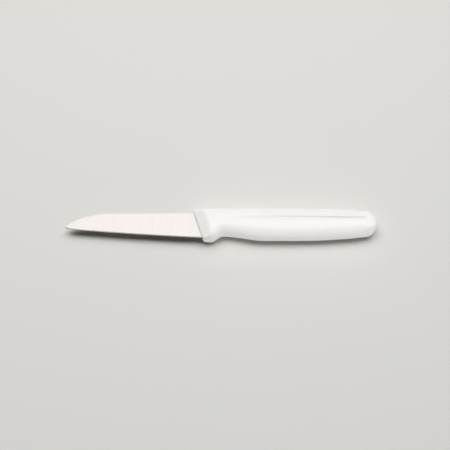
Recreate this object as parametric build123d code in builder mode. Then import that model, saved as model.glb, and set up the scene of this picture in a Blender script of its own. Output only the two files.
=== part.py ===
from build123d import *
import math
import os

# Paring knife lying on its side: the tip points to -X, the butt to +X, the spine to +Y and the
# cutting edge to -Y. Places along the knife are measured from the tip, heights from the handle's
# centre line and thicknesses from the blade's middle plane, all in millimetres.

# Blade
blade_reach = 79.5  # exposed length on the handle's centre line
blade_height = 16.6  # spine to heel, where the blade enters the handle
blade_thickness = 1.3  # at the spine, beside the handle
edge_thickness = 0.34  # behind the cutting bevel
bevel_height = 0.7
bevel_depth = 0.13  # what the bevel takes off each side
spine_fall = 0.3  # how much the spine sinks from the handle to the tip curve
tip_length = 28.0  # length of the curve that brings the spine down to the tip
tip_drop = 9.5
tip_angle = 46.0  # of the spine at the very point
tip_curve_shares = [(0.19, 0.46), (0.42, 0.75), (0.74, 0.96)]
tip_belly_length = 5.8  # short curved start of the cutting edge
tip_belly_drop = 1.35
tip_belly_bulge = 0.2
edge_bulge = 0.45

# Tang, hidden in the handle
seat_length = 4.5  # how far the full height of the blade goes into the handle
tang_length = 66.0  # from the handle's front, on the centre line
tang_height = 9.0
tang_step = 1.2  # the tang's top below the spine
tang_corner = 1.5
lock_hole_radius = 2.0
lock_hole_shares = [0.36, 0.78]  # places of the holes along the tang

# Handle, seen from the side
handle_length = 107.0  # on the centre line
back_height = 9.65  # the back's highest place, where its taper to the butt starts
front_fall = 0.45  # how much lower the back starts at the front
spine_cover = 1.4  # the handle's back above the blade's spine, at the front
chin_cover = 1.28  # the chin below the heel
front_slant = 18.0  # of the front from square to the spine
chin_length = 4.55
chin_slope_length = 7.8
chin_round = 1.2
nose_round = 0.4
notch_rise = 3.15  # the finger notch above the chin's bottom
swell_distance = 24.6  # from the notch to the swell, which comes as low as the chin
back_taper_length = 40.0
back_taper_drop = 2.8
belly_taper_length = 53.0
belly_taper_rise = 4.1
taper_power = 2.5

# Handle, seen from above and in section
handle_thickness = 13.0
butt_slimming = 0.5  # what each side loses towards the butt
front_thickness = 5.0
facet_angle = 33.0  # of the front facets from the handle's sides
facet_sharpness = 12  # higher makes a crisper line between facet and side
back_power = 4.0  # of a section's upper half: 2 is an ellipse, higher is squarer
chin_power = 4.0  # of a section's lower half at the chin
belly_power = 2.3  # behind the chin
rim_power = 4.5  # at the butt, where the rib goes on round the end as a rim
rim_length = 8.0
butt_round = 7.3  # length of the domed end
butt_power = 3.8  # squareness of the domed end in plan

# Rib along the back. A small wall leads down from it to a crease, from which each side swells out
rib_thickness = 10.2
crease_depth = 0.55  # of the crease's bottom under the rib's side
crease_share = 0.27  # place of the crease, as a share of the back's height
crease_power = 3.0  # higher makes the side fall more steeply to the crease
wall_share = 0.09  # height of the small wall, in the same way
side_share = -0.12  # where the side has its full thickness
rib_start = 15.0  # the rib sets itself apart over this stretch
rib_growth = 60.0
crease_end = 10.0  # the crease starts to fade out this far before the butt
crease_fade = 5.0

# Outline of a handle section: heights as shares of the back's and the belly's height
height_shares = [0.985, 0.95, 0.90, 0.83, 0.74, 0.64, 0.53, 0.43, 0.36, 0.315, 0.285, 0.26, 0.23, 0.19]
height_shares += [0.13, 0.05, -0.05, -0.16, -0.28, -0.42, -0.56, -0.70, -0.82, -0.91, -0.97]
corner_share = 0.2  # thickness share of the points beside the middle of the back and belly
parting_ridge = 0.02  # the mould's halves meet in a faint ridge along the back and belly
curve_degree = 3
front_zone = 18.0  # stretch behind the front with closely spaced sections
front_sections = 16
grip_sections = 13
butt_sections = 7
butt_flat_angle = 80.0  # the dome ends here in a small flat
slant_zone = 50.0  # where the sections stop leaning with the front
slope_steps = 20  # rounds in which a leaning section finds its outline

# Derived places
front_lean = math.tan(math.radians(front_slant))
front_stretch = math.hypot(1, front_lean)
spine_height = back_height - front_fall - spine_cover
heel_depth = blade_height - spine_height
chin_depth = heel_depth + chin_cover
chin_end = front_lean * chin_depth + chin_length
notch_place = chin_end + chin_slope_length
dome_place = handle_length - butt_round
butt_place = dome_place + butt_round * math.sin(math.radians(butt_flat_angle))
overall_length = blade_reach + butt_place

knife_origin = (-overall_length / 2, (chin_depth - back_height) / 2, handle_thickness / 2)
knife_plane = Plane(origin=knife_origin)


def front_at(height):
    """Place of the handle's front, at a height above the centre line."""
    return blade_reach - front_lean * height


def smooth(share):
    """Smooth change from 0 to 1, flat at both ends."""
    share = min(max(share, 0), 1)
    return share * share * (3 - 2 * share)


def back_at(place):
    """Height of the handle's back, at a distance behind the front."""
    taper_place = handle_length - back_taper_length
    taper = max(0, place - taper_place) / back_taper_length
    fall = front_fall * (1 - smooth(place / taper_place))
    return back_height - fall - back_taper_drop * taper**taper_power


def belly_at(place):
    """Height of the handle's belly: flat chin, finger notch, swell and taper."""
    rise = notch_rise * smooth((place - chin_end) / chin_slope_length)
    rise *= 1 - smooth((place - notch_place) / swell_distance)
    taper = max(0, place - handle_length + belly_taper_length) / belly_taper_length
    return -chin_depth + rise + belly_taper_rise * taper**taper_power


def slope_height(outline_at, place, lean):
    """Height where a leaning section meets an outline."""
    height = 0
    for _ in range(slope_steps):
        height = outline_at(place - lean * height)
    return height


def corner_loss(distance, radius):
    """What a rounded corner takes off, at a distance from the end face."""
    inside = max(0, radius - distance)
    return radius - math.sqrt(radius**2 - inside**2)


def section_points(place, lean):
    """Control points of one half of a section, from the back to the belly."""
    stretch = math.hypot(1, lean)
    top = slope_height(back_at, place, lean) - corner_loss(place, nose_round)
    bottom = slope_height(belly_at, place, lean) + corner_loss(place, chin_round)
    dome = max(0, place - dome_place) / butt_round
    dome_height = math.sqrt(1 - dome**2)
    dome_width = (1 - dome**butt_power) ** (1 / butt_power)
    slimming = max(0, place - handle_length + back_taper_length) / back_taper_length
    half = (handle_thickness / 2 - butt_slimming * slimming**taper_power) * dome_width
    facet = front_thickness / 2 + place * math.tan(math.radians(facet_angle))
    growth = min(max((place - rib_start) / rib_growth, 0), 1)
    growth *= 1 - smooth((place - handle_length + crease_end) / crease_fade)
    crease_cut = growth * max(0, 1 - (rib_thickness / 2 - crease_depth) / half)
    chin_part = 1 - smooth((place - chin_length) / chin_slope_length)
    lower_power = belly_power + (chin_power - belly_power) * chin_part
    lower_power += (rim_power - belly_power) * smooth((place - handle_length + rim_length) / rim_length)

    points = []
    for share in height_shares:
        power = back_power if share > 0 else lower_power
        width_share = (1 - abs(share) ** power) ** (1 / power)
        side_fall = min(max((share - side_share) / (crease_share - side_share), 0), 1) ** crease_power
        wall = crease_depth * growth * smooth((share - crease_share) / wall_share)
        thickness = width_share * (half * (1 - crease_cut * side_fall) + wall)
        limit = (thickness**facet_sharpness + facet**facet_sharpness) ** (1 / facet_sharpness)
        height = (top * share if share > 0 else bottom * -share) * dome_height
        points.append((height * stretch, thickness * facet / limit))
    top_point = (top * dome_height * stretch, 0)
    bottom_point = (bottom * dome_height * stretch, 0)
    corner = corner_share * min(half, facet)
    top_corner = (top_point[0] - parting_ridge, corner)
    bottom_corner = (bottom_point[0] + parting_ridge, corner)
    return [top_point, top_corner] + points + [bottom_corner, bottom_point]


def section_plane(place, lean):
    """Plane of a section: its x runs up towards the back and its y across the knife."""
    centre = knife_plane.from_local_coords(Vector(blade_reach + place, 0, 0))
    return Plane(origin=centre, x_dir=(-lean, 1, 0), z_dir=(1, lean, 0))


stations = [front_zone * (n / front_sections) ** 2 for n in range(front_sections)]
grip_step = (dome_place - front_zone) / grip_sections
stations += [front_zone + grip_step * n for n in range(grip_sections)]
dome_step = math.radians(butt_flat_angle) / butt_sections
stations += [dome_place + butt_round * math.sin(dome_step * n) for n in range(butt_sections + 1)]

# Blade outline
tip_height = spine_height - spine_fall - tip_drop
tip = (0, tip_height)
tip_curve = [(x * tip_length, tip_height + y * tip_drop) for x, y in tip_curve_shares]
spine_start = (tip_length, spine_height - spine_fall)
spine_end = (front_at(spine_height), spine_height)
heel = (front_at(-heel_depth), -heel_depth)
belly_end = (tip_belly_length, tip_height - tip_belly_drop)

# Tang
tang_centre = spine_height - tang_step - tang_height / 2
tang_start = blade_reach + seat_length / 2
tang_run = tang_length - seat_length / 2
lock_holes = [
    knife_plane.from_local_coords(
        Vector(blade_reach + share * tang_length, tang_centre, blade_thickness / 2)
    )
    for share in lock_hole_shares
]

# The flat grind leaves the edge's thickness along the edge and the full thickness at the handle
edge_direction = Vector(heel[0] - belly_end[0], heel[1] - belly_end[1], 0)
grind_planes = []
for side in (1, -1):
    heel_side = Vector(heel[0], heel[1], side * edge_thickness / 2)
    spine_side = Vector(spine_end[0], spine_end[1], side * blade_thickness / 2)
    outward = edge_direction.cross(spine_side - heel_side) * side
    origin = knife_plane.from_local_coords(heel_side)
    grind_planes.append(Plane(origin=origin, x_dir=edge_direction, z_dir=outward))

with BuildPart() as blade:
    with BuildSketch(knife_plane):
        with BuildLine():
            Spline(
                tip,
                *tip_curve,
                spine_start,
                tangents=(
                    (math.cos(math.radians(tip_angle)), math.sin(math.radians(tip_angle))),
                    (spine_end[0] - spine_start[0], spine_fall),
                ),
            )
            Line(spine_start, spine_end)
            Line(spine_end, heel)
            SagittaArc(heel, belly_end, edge_bulge)
            SagittaArc(belly_end, tip, tip_belly_bulge)
        make_face()
    extrude(amount=blade_thickness / 2, both=True)
    for grind_plane in grind_planes:
        split(bisect_by=grind_plane, keep=Keep.BOTTOM)
    for side in (-1, 0):
        ground_face = blade.faces().sort_by(Axis.Z)[side]
        bevel_edges = ground_face.edges().sort_by(Axis.Y)[:2]
        chamfer(bevel_edges, bevel_height, bevel_depth, reference=ground_face)
    with BuildSketch(section_plane(0, front_lean)):
        with BuildLine():
            Polyline(
                (spine_height * front_stretch, blade_thickness / 2),
                (spine_height * front_stretch, -blade_thickness / 2),
                (-heel_depth * front_stretch, -edge_thickness / 2),
                (-heel_depth * front_stretch, edge_thickness / 2),
                close=True,
            )
        make_face()
    with BuildSketch(section_plane(seat_length, front_lean)):
        with Locations(((spine_height - heel_depth) / 2 * front_stretch, 0)):
            Rectangle(blade_height * front_stretch, blade_thickness)
    loft(ruled=True)
    with BuildSketch(knife_plane):
        with Locations((tang_start + tang_run / 2, tang_centre)):
            Rectangle(tang_run, tang_height)
    extrude(amount=blade_thickness / 2, both=True)
    tang_end_edges = blade.edges().filter_by(Axis.Z).group_by(Axis.X)[-1]
    fillet(tang_end_edges, tang_corner)
    with Locations(*lock_holes):
        Hole(lock_hole_radius)

blade.part.label = "blade"

with BuildPart() as handle:
    for place in stations:
        lean = front_lean * (1 - smooth(place / slant_zone))
        upper = section_points(place, lean)
        lower = [(height, -thickness) for height, thickness in reversed(upper)]
        spans = len(upper) - curve_degree
        knots = [0] * curve_degree + list(range(spans + 1)) + [spans] * curve_degree
        with BuildSketch(section_plane(place, lean)):
            with BuildLine():
                BSpline(upper, knots, curve_degree)
                BSpline(lower, knots, curve_degree)
            make_face()
    loft(clean=False)
    add(blade.part, mode=Mode.SUBTRACT)

handle.part.label = "handle"

os.makedirs("parts", exist_ok=True)
export_step(blade.part, "parts/blade.step")
export_step(handle.part, "parts/handle.step")
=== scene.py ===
import math

import bmesh
import bpy
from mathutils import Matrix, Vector


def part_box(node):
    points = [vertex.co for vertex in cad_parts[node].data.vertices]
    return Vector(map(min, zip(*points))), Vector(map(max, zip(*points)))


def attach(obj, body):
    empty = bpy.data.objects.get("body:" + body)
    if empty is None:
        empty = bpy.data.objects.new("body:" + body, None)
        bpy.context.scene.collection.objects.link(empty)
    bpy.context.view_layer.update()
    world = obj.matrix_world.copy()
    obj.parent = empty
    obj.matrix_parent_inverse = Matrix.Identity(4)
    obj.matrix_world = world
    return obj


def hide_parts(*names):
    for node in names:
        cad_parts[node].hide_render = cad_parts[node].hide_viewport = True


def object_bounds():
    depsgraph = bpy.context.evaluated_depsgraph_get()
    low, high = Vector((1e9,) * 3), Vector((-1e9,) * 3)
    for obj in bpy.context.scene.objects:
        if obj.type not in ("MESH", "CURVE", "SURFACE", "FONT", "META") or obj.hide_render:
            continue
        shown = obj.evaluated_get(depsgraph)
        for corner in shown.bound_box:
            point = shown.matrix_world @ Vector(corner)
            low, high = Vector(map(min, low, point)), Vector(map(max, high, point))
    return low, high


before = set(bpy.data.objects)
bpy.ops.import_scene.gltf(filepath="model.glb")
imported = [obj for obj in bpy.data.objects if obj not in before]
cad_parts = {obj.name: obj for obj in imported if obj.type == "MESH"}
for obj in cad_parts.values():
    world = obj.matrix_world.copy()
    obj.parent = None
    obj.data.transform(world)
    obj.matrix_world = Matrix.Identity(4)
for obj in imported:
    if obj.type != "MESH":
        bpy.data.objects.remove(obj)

# Paring knife lying on its side on a pale table: the tip points to -X, the cutting edge to the camera.
# Sizes are in millimetres unless a name or note says otherwise, and meshes are made in metres.
cadLow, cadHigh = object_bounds()
mm = 0.001
scene = bpy.context.scene
noiseLow, noiseHigh = 0.3, 0.7  # nearly all of a noise texture lies between these values
softStep = {"interpolation_type": "SMOOTHSTEP"}  # lets a Map Range start and end softly


def linear(hexColour):
    channels = [int(hexColour[n : n + 2], 16) / 255 for n in (1, 3, 5)]
    return [c / 12.92 if c <= 0.04045 else ((c + 0.055) / 1.055) ** 2.4 for c in channels] + [1]


def addNode(tree, kind, settings=None, inputs=None):
    node = tree.nodes.new(kind)
    for name, value in (settings or {}).items():
        setattr(node, name, value)
    for socket, value in (inputs or {}).items():
        if isinstance(value, bpy.types.Node):
            value = value.outputs[0]
        if isinstance(value, bpy.types.NodeSocket):
            tree.links.new(value, node.inputs[socket])
        else:
            node.inputs[socket].default_value = value
    return node


def newMaterial(name):
    material = bpy.data.materials.new(name)
    material.use_nodes = True
    material.node_tree.nodes.clear()
    return material


def finishMaterial(material, shader):
    addNode(material.node_tree, "ShaderNodeOutputMaterial", inputs={"Surface": shader})
    return material


# Injection moulded polypropylene: a soft satin white, with the fine even grain of an eroded mould
plasticFinish = {
    "colour": "#e6e5e4",
    "shade": "#e3e2e1",
    "roughness": 0.42,
    "roughnessSpread": 0.05,
    "ior": 1.49,
    "grainSize": 0.35,  # the real grain is about 0.1 mm, drawn coarser so that it shows close up
    "grainDepth": 0.006,
    "grainDetail": 3,
    "cloudSize": 22.0,
    "cloudDetail": 2,
    "partingWidth": 0.16,
    "partingHeight": 0.05,
    "lightDepth": 1.25,  # the white plastic is translucent, so light creeps round its curves
    "lightDepthShares": (1, 0.97, 0.93),  # of red, green and blue
}


def mouldedPlastic(finish, partingPlane):
    material = newMaterial("satinMouldedPolypropylene")
    tree = material.node_tree
    place = addNode(tree, "ShaderNodeTexCoord").outputs["Object"]
    clouds = addNode(tree, "ShaderNodeTexNoise", inputs={
        "Vector": place, "Scale": 1 / (finish["cloudSize"] * mm), "Detail": finish["cloudDetail"],
    })
    tint = addNode(tree, "ShaderNodeMix", {"data_type": "RGBA"}, {
        "Factor": clouds, 6: linear(finish["colour"]), 7: linear(finish["shade"]),
    })
    grain = addNode(tree, "ShaderNodeTexNoise", inputs={
        "Vector": place, "Scale": 1 / (finish["grainSize"] * mm), "Detail": finish["grainDetail"],
    })
    low = finish["roughness"] - finish["roughnessSpread"]
    high = finish["roughness"] + finish["roughnessSpread"]
    roughness = addNode(tree, "ShaderNodeMapRange", inputs={
        0: grain, 1: noiseLow, 2: noiseHigh, 3: low, 4: high,
    })
    # The mould's halves meet on the middle plane, which leaves a witness line along the back and belly
    depth = addNode(tree, "ShaderNodeSeparateXYZ", inputs={0: place}).outputs["Z"]
    offset = addNode(tree, "ShaderNodeMath", {"operation": "SUBTRACT"}, {0: depth, 1: partingPlane})
    distance = addNode(tree, "ShaderNodeMath", {"operation": "ABSOLUTE"}, {0: offset})
    ridge = addNode(tree, "ShaderNodeMapRange", softStep, {
        0: distance, 1: 0, 2: finish["partingWidth"] * mm, 3: 1, 4: 0,
    })
    grainBump = addNode(tree, "ShaderNodeBump", inputs={
        "Height": grain, "Distance": finish["grainDepth"] * mm,
    })
    bump = addNode(tree, "ShaderNodeBump", inputs={
        "Height": ridge, "Distance": finish["partingHeight"] * mm, "Normal": grainBump,
    })
    shader = addNode(tree, "ShaderNodeBsdfPrincipled", inputs={
        "Base Color": tint.outputs[2], "Roughness": roughness, "IOR": finish["ior"], "Normal": bump,
        "Subsurface Weight": 1, "Subsurface Radius": finish["lightDepthShares"],
        "Subsurface Scale": finish["lightDepth"] * mm,
    })
    return finishMaterial(material, shader)


# Stamped stainless steel, ground across the blade and glazed: a bright sheen with fine crosswise lines
steelFinish = {
    "colour": "#c3bfbd",
    "shade": "#bdb9b7",
    "roughness": 0.3,
    "roughnessSpread": 0.05,
    "lineSpacing": 0.3,  # real grinding lines are finer than 0.1 mm, drawn coarser so that they show
    "lineLength": 14.0,
    "lineDepth": 0.0012,
    "lineDetail": 4,
    "lineRoughness": 0.6,
}


def groundSteel(finish):
    material = newMaterial("groundStainlessSteel")
    tree = material.node_tree
    place = addNode(tree, "ShaderNodeTexCoord").outputs["Object"]
    acrossBlade = addNode(tree, "ShaderNodeMapping", inputs={
        "Vector": place,
        "Scale": [1 / (finish[size] * mm) for size in ("lineSpacing", "lineLength", "lineLength")],
    })
    lines = addNode(tree, "ShaderNodeTexNoise", inputs={
        "Vector": acrossBlade, "Scale": 1,
        "Detail": finish["lineDetail"], "Roughness": finish["lineRoughness"],
    })
    tint = addNode(tree, "ShaderNodeMix", {"data_type": "RGBA"}, {
        "Factor": lines, 6: linear(finish["colour"]), 7: linear(finish["shade"]),
    })
    low = finish["roughness"] - finish["roughnessSpread"]
    high = finish["roughness"] + finish["roughnessSpread"]
    roughness = addNode(tree, "ShaderNodeMapRange", inputs={
        0: lines, 1: noiseLow, 2: noiseHigh, 3: low, 4: high,
    })
    bump = addNode(tree, "ShaderNodeBump", inputs={"Height": lines, "Distance": finish["lineDepth"] * mm})
    shader = addNode(tree, "ShaderNodeBsdfPrincipled", inputs={
        "Base Color": tint.outputs[2], "Metallic": 1, "Roughness": roughness, "Normal": bump,
    })
    return finishMaterial(material, shader)


# Blade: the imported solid's own faces, joined into one skin, with its blanked edges eased
bladeEasing = {
    "width": 0.1,
    "segments": 2,
    "flatLimit": 0.99,  # a face counts as ground when its normal's upright share is above this
    "sideLimit": 0.2,  # and as blanked when it is below this
    "mergeDistance": 0.001,
    "mergeAngle": 0.05,  # in degrees
}


def easedBlade(easing, material):
    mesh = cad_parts["blade"].data.copy()
    mesh.name = "groundBlade"
    skin = bmesh.new()
    skin.from_mesh(mesh)
    bmesh.ops.remove_doubles(skin, verts=skin.verts, dist=easing["mergeDistance"] * mm)
    mergeAngle = math.radians(easing["mergeAngle"])
    bmesh.ops.dissolve_limit(skin, angle_limit=mergeAngle, verts=skin.verts, edges=skin.edges)
    bmesh.ops.recalc_face_normals(skin, faces=skin.faces)
    weights = skin.edges.layers.float.new("bevel_weight_edge")
    for edge in skin.edges:
        tilts = sorted(abs(face.normal.z) for face in edge.link_faces)
        if len(tilts) == 2 and tilts[0] < easing["sideLimit"] and tilts[1] > easing["flatLimit"]:
            edge[weights] = 1
    skin.to_mesh(mesh)
    skin.free()
    mesh.materials.clear()
    mesh.materials.append(material)
    blade = bpy.data.objects.new("groundBlade", mesh)
    scene.collection.objects.link(blade)
    bevel = blade.modifiers.new("easedEdges", "BEVEL")
    bevel.limit_method = "WEIGHT"
    bevel.width = easing["width"] * mm
    bevel.segments = easing["segments"]
    return blade


# Handle: one rule gives its whole shape. Seen from the side it has a straight back, a chin, a finger
# notch and a swell. Each section is a rounded square, hollowed under the back and cut by the front facets.
handleShape = {
    "bladeReach": 79.5,  # from the tip to the handle's front, on the centre line
    "backHeight": 9.65,
    "frontLean": math.tan(math.radians(18)),  # how far the front runs back for each height
    "leanZone": 50.0,
    "chinLength": 4.55,
    "chinSlope": 7.8,
    "notchRise": 3.15,
    "swellDistance": 24.6,
    "frontFall": 0.45,  # how much lower the back starts at the front
    "backTaper": 40.0,
    "backDrop": 2.8,
    "bellyTaper": 53.0,
    "bellyRise": 4.1,
    "taperPower": 2.5,
    "noseRound": 0.4,
    "chinRound": 1.2,
    "cornerPower": 3.0,
    "buttRound": 7.3,
    "buttPower": 3.8,
    "buttSlimming": 0.5,
    "backPower": 4.0,  # 2 is an ellipse, higher is squarer
    "chinPower": 4.0,
    "bellyPower": 2.3,
    "rimPower": 4.5,  # at the butt, where the rib goes on round the end as a rim
    "rimLength": 8.0,
    "frontThickness": 5.0,
    "facetSlope": math.tan(math.radians(33)),
    "facetBlend": 0.9,
    "frontRound": 0.3,
    "ribThickness": 10.2,
    "creaseDepth": 0.55,  # of the crease's bottom under the rib's side
    "creaseShare": 0.27,  # place of the crease, as a share of the back's height
    "creasePower": 3.0,  # higher makes the side fall more steeply to the crease
    "wallShare": 0.09,  # height of the small wall from the crease to the rib
    "sideShare": -0.12,  # where the side has swelled out to its full thickness
    "ribStart": 15.0,
    "ribGrowth": 60.0,
    "creaseEnd": 10.0,  # the crease starts to fade out this far before the butt
    "creaseFade": 5.0,
    "mesh": {
        "rows": 330,
        "points": 240,
        "frontRows": 2,  # close the front, the first on the middle plane and the next near the outline
        "frontCrowding": 0.12,
        "domeStart": 0.86,
        "crowding": 1.25,
        "leanRounds": 5,
        "mergeDistance": 0.001,
        "creasePoints": (0.31, 0.48),  # this part of a side's points, counted from the back,
        "creaseAngles": (69, 80),  # lies close together where the crease runs, between these degrees
    },
}


def handleTree(sizes, detail, material):
    tree = bpy.data.node_groups.new("handleShape", "GeometryNodeTree")
    tree.interface.new_socket(name="Mesh", in_out="OUTPUT", socket_type="NodeSocketGeometry")
    for name, value in sizes.items():
        socket = tree.interface.new_socket(name=name, in_out="INPUT", socket_type="NodeSocketFloat")
        socket.default_value = value
    size = addNode(tree, "NodeGroupInput").outputs

    # One grid is wrapped round the handle: its X runs from the front to the butt, its Y round the section
    grid = addNode(tree, "GeometryNodeMeshGrid", inputs={
        "Size X": 1, "Size Y": 1, "Vertices X": detail["rows"], "Vertices Y": detail["points"] + 1,
    })
    gridPlace = addNode(tree, "ShaderNodeSeparateXYZ", inputs={0: addNode(tree, "GeometryNodeInputPosition")})
    along = addNode(tree, "ShaderNodeMath", {"operation": "ADD"}, {0: gridPlace.outputs["X"], 1: 0.5})
    frontEnd = detail["frontRows"] / (detail["rows"] - 1)
    frontShare = addNode(tree, "ShaderNodeMapRange", inputs={0: along, 1: 0, 2: frontEnd})
    frontWidth = addNode(tree, "ShaderNodeMath", {"operation": "POWER"}, {
        0: frontShare, 1: detail["frontCrowding"],
    })
    bodyShare = addNode(tree, "ShaderNodeMapRange", inputs={0: along, 1: frontEnd, 2: detail["domeStart"]})
    crowded = addNode(tree, "ShaderNodeMath", {"operation": "POWER"}, {0: bodyShare, 1: detail["crowding"]})
    domeTurn = addNode(tree, "ShaderNodeMapRange", inputs={
        0: along, 1: detail["domeStart"], 2: 1, 4: math.pi / 2,
    })
    domeReach = addNode(tree, "ShaderNodeMath", {"operation": "SINE"}, {0: domeTurn})
    domeShrink = addNode(tree, "ShaderNodeMath", {"operation": "COSINE"}, {0: domeTurn})
    bodyLength = addNode(tree, "ShaderNodeMath", {"operation": "SUBTRACT"}, {
        0: size["length"], 1: size["buttRound"],
    })
    domePlace = addNode(tree, "ShaderNodeMath", {"operation": "MULTIPLY"}, {
        0: domeReach, 1: size["buttRound"],
    })
    place = addNode(tree, "ShaderNodeMath", {"operation": "MULTIPLY_ADD"}, {
        0: crowded, 1: bodyLength, 2: domePlace,
    })
    side = addNode(tree, "ShaderNodeMath", {"operation": "SIGN"}, {0: gridPlace.outputs["Y"]})
    sideways = addNode(tree, "ShaderNodeMath", {"operation": "ABSOLUTE"}, {0: gridPlace.outputs["Y"]})
    fromBack = addNode(tree, "ShaderNodeMapRange", inputs={0: sideways, 1: 0, 2: 0.5, 3: 1, 4: 0})
    angle = 0
    shares = (0, *detail["creasePoints"], 1)
    angles = (0, *detail["creaseAngles"], 180)
    for n in range(3):
        turn = math.radians(angles[n + 1] - angles[n])
        zone = addNode(tree, "ShaderNodeMapRange", inputs={
            0: fromBack, 1: shares[n], 2: shares[n + 1], 4: turn,
        })
        angle = addNode(tree, "ShaderNodeMath", {"operation": "ADD"}, {0: zone, 1: angle})

    # Shares of a section's height and width at this angle, on a curve between an ellipse and a rectangle
    up = addNode(tree, "ShaderNodeMath", {"operation": "COSINE"}, {0: angle})
    aside = addNode(tree, "ShaderNodeMath", {"operation": "SINE"}, {0: angle})
    upSize = addNode(tree, "ShaderNodeMath", {"operation": "ABSOLUTE"}, {0: up})
    isBack = addNode(tree, "ShaderNodeMath", {"operation": "GREATER_THAN"}, {0: up, 1: 0})
    chinEdge = addNode(tree, "ShaderNodeMath", {"operation": "ADD"}, {
        0: size["chinLength"], 1: size["chinSlope"],
    })
    chinPower = addNode(tree, "ShaderNodeMapRange", softStep, {
        0: place, 1: size["chinLength"], 2: chinEdge, 3: size["chinPower"], 4: size["bellyPower"],
    })
    rimStart = addNode(tree, "ShaderNodeMath", {"operation": "SUBTRACT"}, {
        0: size["length"], 1: size["rimLength"],
    })
    rimChange = addNode(tree, "ShaderNodeMath", {"operation": "SUBTRACT"}, {
        0: size["rimPower"], 1: size["bellyPower"],
    })
    rimGain = addNode(tree, "ShaderNodeMapRange", softStep, {
        0: place, 1: rimStart, 2: size["length"], 3: 0, 4: rimChange,
    })
    bellyPower = addNode(tree, "ShaderNodeMath", {"operation": "ADD"}, {0: chinPower, 1: rimGain})
    power = addNode(tree, "ShaderNodeMapRange", inputs={0: isBack, 3: bellyPower, 4: size["backPower"]})
    upPower = addNode(tree, "ShaderNodeMath", {"operation": "POWER"}, {0: upSize, 1: power})
    asidePower = addNode(tree, "ShaderNodeMath", {"operation": "POWER"}, {0: aside, 1: power})
    powerSum = addNode(tree, "ShaderNodeMath", {"operation": "ADD"}, {0: upPower, 1: asidePower})
    root = addNode(tree, "ShaderNodeMath", {"operation": "DIVIDE"}, {0: -1, 1: power})
    reach = addNode(tree, "ShaderNodeMath", {"operation": "POWER"}, {0: powerSum, 1: root})
    heightShare = addNode(tree, "ShaderNodeMath", {"operation": "MULTIPLY"}, {0: up, 1: reach})
    widthShare = addNode(tree, "ShaderNodeMath", {"operation": "MULTIPLY"}, {0: aside, 1: reach})

    # Back and belly lines. The sections lean with the front, so the belly's height is found in a few rounds
    lean = addNode(tree, "ShaderNodeMapRange", softStep, {
        0: place, 1: 0, 2: size["leanZone"], 3: size["frontLean"], 4: 0,
    })
    backStart = addNode(tree, "ShaderNodeMath", {"operation": "SUBTRACT"}, {
        0: size["length"], 1: size["backTaper"],
    })
    backShare = addNode(tree, "ShaderNodeMapRange", inputs={0: place, 1: backStart, 2: size["length"]})
    backCurve = addNode(tree, "ShaderNodeMath", {"operation": "POWER"}, {0: backShare, 1: size["taperPower"]})
    backFall = addNode(tree, "ShaderNodeMath", {"operation": "MULTIPLY"}, {0: backCurve, 1: size["backDrop"]})
    frontRise = addNode(tree, "ShaderNodeMapRange", softStep, {
        0: place, 1: 0, 2: backStart, 3: size["frontFall"], 4: 0,
    })
    backDrop = addNode(tree, "ShaderNodeMath", {"operation": "ADD"}, {0: frontRise, 1: backFall})
    backLine = addNode(tree, "ShaderNodeMath", {"operation": "SUBTRACT"}, {
        0: size["backHeight"], 1: backDrop,
    })
    chinEnd = addNode(tree, "ShaderNodeMath", {"operation": "MULTIPLY_ADD"}, {
        0: size["chinDepth"], 1: size["frontLean"], 2: size["chinLength"],
    })
    notchPlace = addNode(tree, "ShaderNodeMath", {"operation": "ADD"}, {0: chinEnd, 1: size["chinSlope"]})
    swellPlace = addNode(tree, "ShaderNodeMath", {"operation": "ADD"}, {
        0: notchPlace, 1: size["swellDistance"],
    })
    bellyStart = addNode(tree, "ShaderNodeMath", {"operation": "SUBTRACT"}, {
        0: size["length"], 1: size["bellyTaper"],
    })
    bellyLine = addNode(tree, "ShaderNodeMath", {"operation": "MULTIPLY"}, {0: size["chinDepth"], 1: -1})
    chinLine = bellyLine
    for _ in range(detail["leanRounds"]):
        run = addNode(tree, "ShaderNodeMath", {"operation": "MULTIPLY"}, {0: lean, 1: bellyLine})
        upright = addNode(tree, "ShaderNodeMath", {"operation": "SUBTRACT"}, {0: place, 1: run})
        rise = addNode(tree, "ShaderNodeMapRange", softStep, {
            0: upright, 1: chinEnd, 2: notchPlace, 3: 0, 4: size["notchRise"],
        })
        stays = addNode(tree, "ShaderNodeMapRange", softStep, {
            0: upright, 1: notchPlace, 2: swellPlace, 3: 1, 4: 0,
        })
        chinNotch = addNode(tree, "ShaderNodeMath", {"operation": "MULTIPLY_ADD"}, {
            0: rise, 1: stays, 2: chinLine,
        })
        taper = addNode(tree, "ShaderNodeMapRange", inputs={0: upright, 1: bellyStart, 2: size["length"]})
        taperCurve = addNode(tree, "ShaderNodeMath", {"operation": "POWER"}, {
            0: taper, 1: size["taperPower"],
        })
        bellyLine = addNode(tree, "ShaderNodeMath", {"operation": "MULTIPLY_ADD"}, {
            0: taperCurve, 1: size["bellyRise"], 2: chinNotch,
        })

    def cornerLoss(radius):
        share = addNode(tree, "ShaderNodeMapRange", inputs={0: place, 1: 0, 2: radius, 3: 1, 4: 0})
        curve = addNode(tree, "ShaderNodeMath", {"operation": "POWER"}, {0: share, 1: size["cornerPower"]})
        return addNode(tree, "ShaderNodeMath", {"operation": "MULTIPLY"}, {0: curve, 1: radius})

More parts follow.
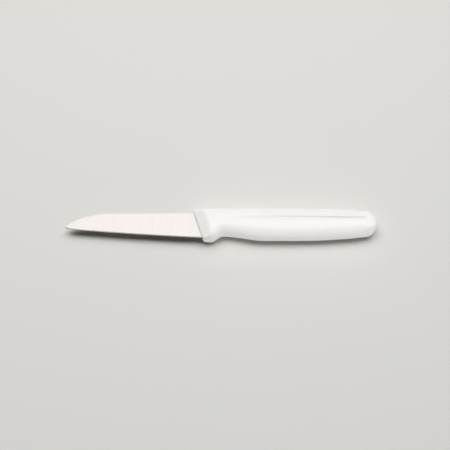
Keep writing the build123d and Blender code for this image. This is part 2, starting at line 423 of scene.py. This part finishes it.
    top = addNode(tree, "ShaderNodeMath", {"operation": "SUBTRACT"}, {
        0: backLine, 1: cornerLoss(size["noseRound"]),
    })
    bottom = addNode(tree, "ShaderNodeMath", {"operation": "ADD"}, {
        0: bellyLine, 1: cornerLoss(size["chinRound"]),
    })
    above = addNode(tree, "ShaderNodeMath", {"operation": "MAXIMUM"}, {0: heightShare, 1: 0})
    below = addNode(tree, "ShaderNodeMath", {"operation": "SUBTRACT"}, {0: above, 1: heightShare})
    aboveHeight = addNode(tree, "ShaderNodeMath", {"operation": "MULTIPLY"}, {0: top, 1: above})
    fullHeight = addNode(tree, "ShaderNodeMath", {"operation": "MULTIPLY_ADD"}, {
        0: bottom, 1: below, 2: aboveHeight,
    })
    height = addNode(tree, "ShaderNodeMath", {"operation": "MULTIPLY"}, {0: fullHeight, 1: domeShrink})

    # Thickness: half the handle's, slimmer to the butt and rounded off at its dome
    domePower = addNode(tree, "ShaderNodeMath", {"operation": "POWER"}, {0: domeReach, 1: size["buttPower"]})
    domeRest = addNode(tree, "ShaderNodeMath", {"operation": "SUBTRACT"}, {0: 1, 1: domePower})
    domeRoot = addNode(tree, "ShaderNodeMath", {"operation": "DIVIDE"}, {0: 1, 1: size["buttPower"]})
    domeWidth = addNode(tree, "ShaderNodeMath", {"operation": "POWER"}, {0: domeRest, 1: domeRoot})
    slimming = addNode(tree, "ShaderNodeMath", {"operation": "MULTIPLY"}, {
        0: backCurve, 1: size["buttSlimming"],
    })
    half = addNode(tree, "ShaderNodeMath", {"operation": "MULTIPLY"}, {0: size["thickness"], 1: 0.5})
    slimHalf = addNode(tree, "ShaderNodeMath", {"operation": "SUBTRACT"}, {0: half, 1: slimming})
    domeHalf = addNode(tree, "ShaderNodeMath", {"operation": "MULTIPLY"}, {0: slimHalf, 1: domeWidth})
    sideReach = addNode(tree, "ShaderNodeMath", {"operation": "MULTIPLY"}, {0: domeHalf, 1: widthShare})

    # The back is a rib of its own thickness. Each side swells out below it from a crease under a small wall
    ribHalf = addNode(tree, "ShaderNodeMath", {"operation": "MULTIPLY"}, {0: size["ribThickness"], 1: 0.5})
    creaseHalf = addNode(tree, "ShaderNodeMath", {"operation": "SUBTRACT"}, {
        0: ribHalf, 1: size["creaseDepth"],
    })
    creaseLeft = addNode(tree, "ShaderNodeMath", {"operation": "DIVIDE"}, {0: creaseHalf, 1: domeHalf})
    creaseCut = addNode(tree, "ShaderNodeMath", {"operation": "SUBTRACT", "use_clamp": True}, {
        0: 1, 1: creaseLeft,
    })
    ribFull = addNode(tree, "ShaderNodeMath", {"operation": "ADD"}, {
        0: size["ribStart"], 1: size["ribGrowth"],
    })
    ribGrowth = addNode(tree, "ShaderNodeMapRange", inputs={0: place, 1: size["ribStart"], 2: ribFull})
    fadeStart = addNode(tree, "ShaderNodeMath", {"operation": "SUBTRACT"}, {
        0: size["length"], 1: size["creaseEnd"],
    })
    fadeEnd = addNode(tree, "ShaderNodeMath", {"operation": "ADD"}, {0: fadeStart, 1: size["creaseFade"]})
    fading = addNode(tree, "ShaderNodeMapRange", softStep, {
        0: place, 1: fadeStart, 2: fadeEnd, 3: 1, 4: 0,
    })
    growth = addNode(tree, "ShaderNodeMath", {"operation": "MULTIPLY"}, {0: ribGrowth, 1: fading})
    creaseGain = addNode(tree, "ShaderNodeMath", {"operation": "MULTIPLY"}, {0: growth, 1: creaseCut})
    creaseSide = addNode(tree, "ShaderNodeMapRange", inputs={
        0: heightShare, 1: size["sideShare"], 2: size["creaseShare"],
    })
    creaseCurve = addNode(tree, "ShaderNodeMath", {"operation": "POWER"}, {
        0: creaseSide, 1: size["creasePower"],
    })
    slim = addNode(tree, "ShaderNodeMath", {"operation": "MULTIPLY"}, {0: creaseGain, 1: creaseCurve})
    kept = addNode(tree, "ShaderNodeMath", {"operation": "SUBTRACT"}, {0: 1, 1: slim})
    creased = addNode(tree, "ShaderNodeMath", {"operation": "MULTIPLY"}, {0: sideReach, 1: kept})
    wallTop = addNode(tree, "ShaderNodeMath", {"operation": "ADD"}, {
        0: size["creaseShare"], 1: size["wallShare"],
    })
    wallFull = addNode(tree, "ShaderNodeMapRange", softStep, {
        0: heightShare, 1: size["creaseShare"], 2: wallTop, 3: 0, 4: size["creaseDepth"],
    })
    wallGrown = addNode(tree, "ShaderNodeMath", {"operation": "MULTIPLY"}, {0: wallFull, 1: growth})
    wallWidth = addNode(tree, "ShaderNodeMath", {"operation": "MULTIPLY"}, {0: wallGrown, 1: widthShare})
    ribbed = addNode(tree, "ShaderNodeMath", {"operation": "ADD"}, {0: creased, 1: wallWidth})

    # Front facets: flat planes that narrow each side towards the blade
    frontHalf = addNode(tree, "ShaderNodeMath", {"operation": "MULTIPLY"}, {
        0: size["frontThickness"], 1: 0.5,
    })
    facetPlane = addNode(tree, "ShaderNodeMath", {"operation": "MULTIPLY_ADD"}, {
        0: place, 1: size["facetSlope"], 2: frontHalf,
    })
    facet = addNode(tree, "ShaderNodeMath", {"operation": "SUBTRACT"}, {
        0: facetPlane, 1: cornerLoss(size["frontRound"]),
    })
    faceted = addNode(tree, "ShaderNodeMath", {"operation": "SMOOTH_MIN"}, {
        0: ribbed, 1: facet, 2: size["facetBlend"],
    })
    closed = addNode(tree, "ShaderNodeMath", {"operation": "MULTIPLY"}, {0: faceted, 1: frontWidth})
    width = addNode(tree, "ShaderNodeMath", {"operation": "MULTIPLY"}, {0: closed, 1: side})

    leanBack = addNode(tree, "ShaderNodeMath", {"operation": "MULTIPLY"}, {0: lean, 1: height})
    lengthways = addNode(tree, "ShaderNodeMath", {"operation": "SUBTRACT"}, {0: place, 1: leanBack})
    shaped = addNode(tree, "ShaderNodeCombineXYZ", inputs={0: lengthways, 1: height, 2: width})
    origin = addNode(tree, "ShaderNodeCombineXYZ", inputs={
        0: size["frontPlace"], 1: size["centrePlace"], 2: size["middlePlace"],
    })
    placed = addNode(tree, "ShaderNodeVectorMath", {"operation": "ADD"}, {0: shaped, 1: origin})
    inMetres = addNode(tree, "ShaderNodeVectorMath", {"operation": "SCALE"}, {0: placed, "Scale": mm})
    wrapped = addNode(tree, "GeometryNodeSetPosition", inputs={"Geometry": grid, "Position": inMetres})
    skin = addNode(tree, "GeometryNodeMergeByDistance", inputs={
        "Geometry": wrapped, "Distance": detail["mergeDistance"] * mm,
    })
    smooth = addNode(tree, "GeometryNodeSetShadeSmooth", inputs={"Geometry": skin})
    real = addNode(tree, "GeometryNodeRealizeInstances", inputs={"Geometry": smooth})
    painted = addNode(tree, "GeometryNodeSetMaterial", inputs={"Geometry": real, "Material": material})
    addNode(tree, "NodeGroupOutput", inputs={"Mesh": painted})
    return tree


def handlePiece(shape, material):
    low, high = (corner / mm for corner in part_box("handle"))
    bladeLow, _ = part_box("blade")
    frontPlace = bladeLow.x / mm + shape["bladeReach"]
    sizes = {name: value for name, value in shape.items() if name not in ("bladeReach", "mesh")}
    sizes["frontPlace"] = frontPlace
    sizes["centrePlace"] = high.y - shape["backHeight"]
    sizes["middlePlace"] = (low.z + high.z) / 2
    sizes["length"] = high.x - frontPlace
    sizes["thickness"] = high.z - low.z
    sizes["chinDepth"] = high.y - low.y - shape["backHeight"]
    tree = handleTree(sizes, shape["mesh"], material)
    handle = bpy.data.objects.new("mouldedHandle", bpy.data.meshes.new("start"))
    scene.collection.objects.link(handle)
    modifier = handle.modifiers.new("shape", "NODES")
    modifier.node_group = tree
    for socket in tree.interface.items_tree:
        if socket.in_out == "INPUT":
            modifier[socket.identifier] = sizes[socket.name]
    evaluated = handle.evaluated_get(bpy.context.evaluated_depsgraph_get())
    mesh = bpy.data.meshes.new_from_object(evaluated)
    handle.modifiers.clear()
    handle.data = mesh
    mesh.name = "mouldedHandle"
    return handle


middlePlane = sum(corner.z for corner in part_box("blade")) / 2
plastic = mouldedPlastic(plasticFinish, middlePlane)
steel = groundSteel(steelFinish)

blade = easedBlade(bladeEasing, steel)
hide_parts("blade")
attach(blade, "root")
print("blade made")

handle = handlePiece(handleShape, plastic)
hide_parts("handle")
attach(handle, "root")
print("handle made,", len(handle.data.polygons), "faces")


# Pale table under the knife, and a pale room that only the camera and the gloss see
studio = {
    "tableColour": "#e5e4e1",
    "tableRoughness": 0.8,
    "tableGloss": 0.0,
    "tableSize": 6000.0,
    "fadeStart": 350.0,  # from here the table melts into the room, as a studio's sweep does
    "fadeEnd": 900.0,
    "roomColour": "#dddcd8",
}


def seenDirectly(tree):
    path = addNode(tree, "ShaderNodeLightPath").outputs
    gloss = addNode(tree, "ShaderNodeMath", {"operation": "MAXIMUM"}, {
        0: path["Is Glossy Ray"], 1: path["Is Transmission Ray"],
    })
    return addNode(tree, "ShaderNodeMath", {"operation": "MAXIMUM"}, {0: path["Is Camera Ray"], 1: gloss})


def paleTable(look):
    material = newMaterial("paleTable")
    tree = material.node_tree
    surface = addNode(tree, "ShaderNodeBsdfPrincipled", inputs={
        "Base Color": linear(look["tableColour"]), "Roughness": look["tableRoughness"],
        "Specular IOR Level": look["tableGloss"],
    })
    room = addNode(tree, "ShaderNodeEmission", inputs={"Color": linear(look["roomColour"]), "Strength": 1})
    place = addNode(tree, "ShaderNodeTexCoord").outputs["Object"]
    distance = addNode(tree, "ShaderNodeVectorMath", {"operation": "LENGTH"}, {0: place}).outputs["Value"]
    fade = addNode(tree, "ShaderNodeMapRange", softStep, {
        0: distance, 1: look["fadeStart"] * mm, 2: look["fadeEnd"] * mm, 3: 0, 4: 1,
    })
    share = addNode(tree, "ShaderNodeMath", {"operation": "MULTIPLY"}, {0: fade, 1: seenDirectly(tree)})
    faded = addNode(tree, "ShaderNodeMixShader", inputs={0: share, 1: surface, 2: room})
    return finishMaterial(material, faded)


def addTable(look):
    half = look["tableSize"] / 2 * mm
    mesh = bpy.data.meshes.new("table")
    corners = [(-half, -half, 0), (half, -half, 0), (half, half, 0), (-half, half, 0)]
    mesh.from_pydata(corners, [], [(0, 1, 2, 3)])
    mesh.materials.append(paleTable(look))
    table = bpy.data.objects.new("table", mesh)
    scene.collection.objects.link(table)
    table.location.z = cadLow.z
    return table


def paintRoom(look):
    world = bpy.data.worlds.new("room")
    world.use_nodes = True
    tree = world.node_tree
    tree.nodes.clear()
    room = addNode(tree, "ShaderNodeBackground", inputs={
        "Color": linear(look["roomColour"]), "Strength": seenDirectly(tree),
    })
    addNode(tree, "ShaderNodeOutputWorld", inputs={"Surface": room})
    scene.world = world


table = addTable(studio)
paintRoom(studio)

# Soft boxes hang over the knife and a little behind it. Angles are in degrees back from straight up,
# and a turn swings a card round the knife. A box with a list lights only what the list names, and
# one marked noGlare shows in no gloss.
softBoxes = [
    {"name": "wideBox", "front": -9, "back": 48, "length": 1500.0, "radiance": 0.9},
    {"name": "middleBox", "front": -8, "back": 30, "length": 1500.0, "radiance": 1.35,
     "lights": ["handle", "table"]},
    {"name": "topBox", "front": -4, "back": 20, "length": 1500.0, "radiance": 1.35,
     "lights": ["handle", "table"]},
    {"name": "frontCard", "front": -90, "back": -68, "length": 1500.0, "radiance": 2.45,
     "noGlare": True, "lights": ["blade", "handle"]},
    {"name": "backCard", "front": 58, "back": 84, "length": 1500.0, "radiance": 1.1,
     "noGlare": True, "lights": ["handle"]},
    {"name": "leftCard", "front": 62, "back": 84, "turn": 85, "length": 1000.0, "radiance": 1.4,
     "noGlare": True, "lights": ["handle"]},
    {"name": "rightCard", "front": 70, "back": 88, "turn": -105, "length": 1000.0, "radiance": 2.9,
     "noGlare": True, "lights": ["blade", "handle"]},
]
softBoxRig = {"distance": 1200.0, "colour": "#fffffe"}


def addSoftBox(box, rig, pieces):
    middle = math.radians(box["front"] + box["back"]) / 2
    halfAngle = math.radians(box["back"] - box["front"]) / 2
    turn = math.radians(box.get("turn", 0))
    flat = math.sin(middle)
    away = Vector((-flat * math.sin(turn), flat * math.cos(turn), math.cos(middle)))
    data = bpy.data.lights.new(box["name"], "AREA")
    data.shape = "RECTANGLE"
    data.size = box["length"] * mm
    data.size_y = 2 * rig["distance"] * math.tan(halfAngle) * mm
    data.energy = box["radiance"] * 4 * data.size * data.size_y  # gives the lamp's face this radiance
    data.color = linear(rig["colour"])[:3]
    light = bpy.data.objects.new(box["name"], data)
    scene.collection.objects.link(light)
    light.location = away * rig["distance"] * mm
    light.rotation_euler = (-middle, 0, turn)
    if "lights" in box:
        lit = bpy.data.collections.new(box["name"] + "Lights")
        for name in box["lights"]:
            lit.objects.link(pieces[name])
        light.light_linking.receiver_collection = lit
    light.visible_glossy = not box.get("noGlare", False)


lightable = {"blade": blade, "handle": handle, "table": table}
for box in softBoxes:
    addSoftBox(box, softBoxRig, lightable)

# Camera on the cutting edge's side, 60 degrees above the table, with a long lens
viewpoint = {
    "elevation": 60.0,
    "lens": 85.0,
    "pictureWidth": 270.0,  # what the picture's width takes in at the knife
    "fromTip": 95.82,  # the picture's middle, on the handle's centre line
}


def addCamera(look):
    data = bpy.data.cameras.new("camera")
    data.lens = look["lens"]
    camera = bpy.data.objects.new("camera", data)
    scene.collection.objects.link(camera)
    bladeLow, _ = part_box("blade")
    _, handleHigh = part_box("handle")
    centreLine = handleHigh.y - handleShape["backHeight"] * mm
    target = Vector((bladeLow.x + look["fromTip"] * mm, centreLine, middlePlane))
    rise = math.radians(look["elevation"])
    distance = look["pictureWidth"] * data.lens / data.sensor_width * mm
    camera.location = target + Vector((0, -math.cos(rise), math.sin(rise))) * distance
    camera.rotation_euler = (math.pi / 2 - rise, 0, 0)
    scene.camera = camera


addCamera(viewpoint)
scene.view_settings.view_transform = "Standard"
print("studio, lamps and camera made")
